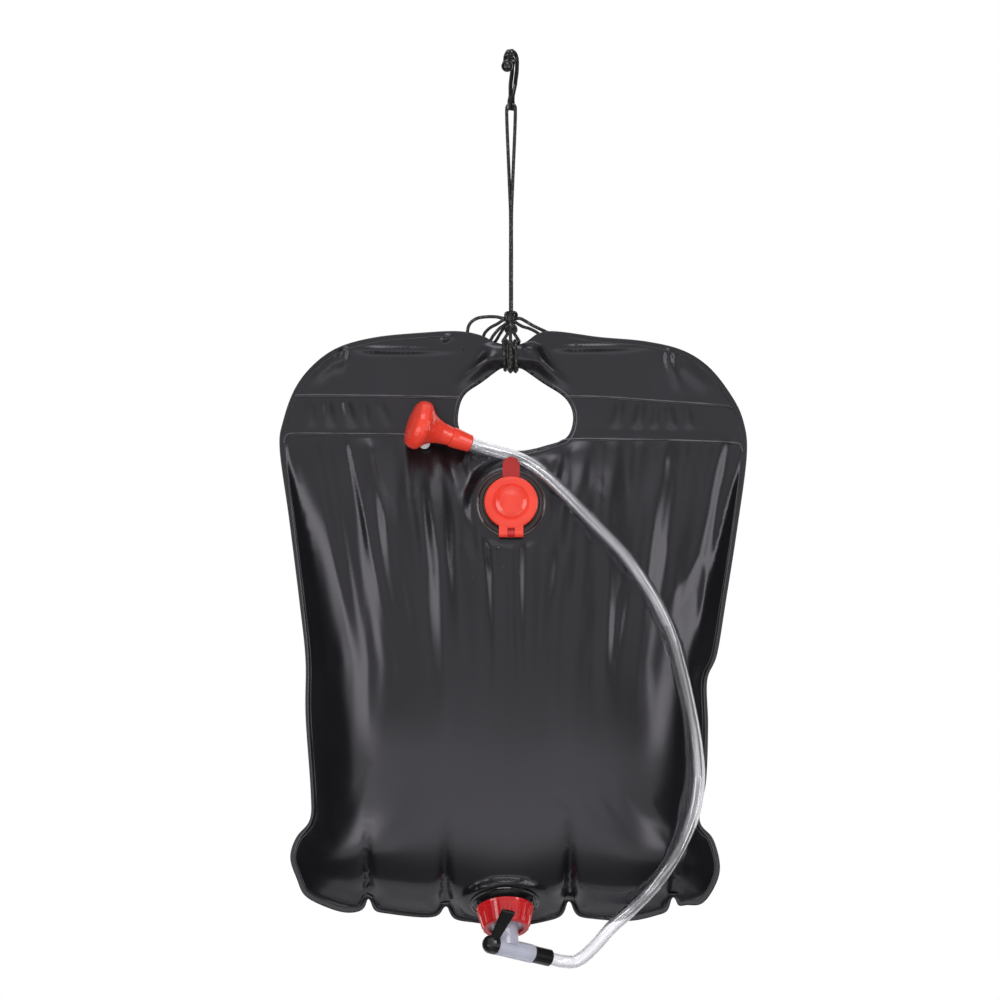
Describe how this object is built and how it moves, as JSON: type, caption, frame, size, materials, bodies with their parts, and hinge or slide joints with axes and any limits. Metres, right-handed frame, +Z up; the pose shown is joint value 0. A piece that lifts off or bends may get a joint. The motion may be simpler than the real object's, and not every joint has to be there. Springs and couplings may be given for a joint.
{
  "type": "camp shower bag",
  "caption": "Black film water bag hung by a cord and hook, with filler lid, screw-capped stopcock, clear hose and shower head",
  "frame": {"origin": "inside top of the hook's bend, where a branch or bar carries it", "axes": "+Z up along the cord, -Y towards a viewer of the front sheet, +X to that viewer's right"},
  "size_m": [0.4115, 0.1422, 0.8058],
  "materials": {
    "film": "black satin film, slightly shiny",
    "cord": "black braided cord",
    "black_plastic": "black moulded plastic, glossy",
    "bright_red_plastic": "bright orange-red moulded plastic, glossy",
    "deep_red_plastic": "deep red moulded plastic, satin",
    "milky_plastic": "milky translucent moulded plastic",
    "seal_rubber": "black rubber",
    "clear_hose": "clear soft hose",
    "white_plastic": "white moulded plastic"
  },
  "bodies": {
    "hook": {"hook": "black_plastic"},
    "cord": {"hanging_cord": "cord"},
    "bag": {"cord_knot": "cord", "cord_wraps": "cord", "bow_loop_large": "cord", "bow_loop_small": "cord", "bow_loop_right": "cord", "front_sheet": "film", "back_sheet": "film", "filler_flange": "black_plastic", "filler_neck": "deep_red_plastic", "hinge_pin": "deep_red_plastic", "spout_flange": "black_plastic", "cap_gasket": "seal_rubber", "valve_body": "milky_plastic", "hose_collar": "black_plastic", "hose": "clear_hose", "head_bell": "bright_red_plastic", "head_sleeve": "bright_red_plastic", "spray_plate": "bright_red_plastic", "head_clip": "white_plastic"},
    "lid": {"filler_lid": "bright_red_plastic"},
    "cap": {"screw_cap": "deep_red_plastic"},
    "stopcock": {"valve_lever": "black_plastic", "plug_seal": "seal_rubber"}
  },
  "joints": [
    {"name": "cord_swing", "type": "hinge", "parent": "hook", "child": "cord", "pos_m": [0, 0, -0.0472], "axis": [-0.4493, -0.8934, 0], "range_deg": [-45, 45]},
    {"name": "bag_swing", "type": "hinge", "parent": "cord", "child": "bag", "pos_m": [0, 0, -0.2323], "axis": [1, 0, 0], "range_deg": [-30, 30]},
    {"name": "lid_hinge", "type": "hinge", "parent": "bag", "child": "lid", "pos_m": [0, -0.03632, -0.42091], "axis": [1, 0, 0], "range_deg": [0, 135]},
    {"name": "cap_turn", "type": "hinge", "parent": "bag", "child": "cap", "pos_m": [-0.0056, -0.03, -0.74297], "axis": [0.0449, -0.515, -0.856], "range_deg": [0, 540]},
    {"name": "lever_turn", "type": "hinge", "parent": "bag", "child": "stopcock", "pos_m": [-0.00363, -0.05266, -0.78064], "axis": [0.843, 0.4793, -0.2442], "range_deg": [0, 90]}
  ]
}
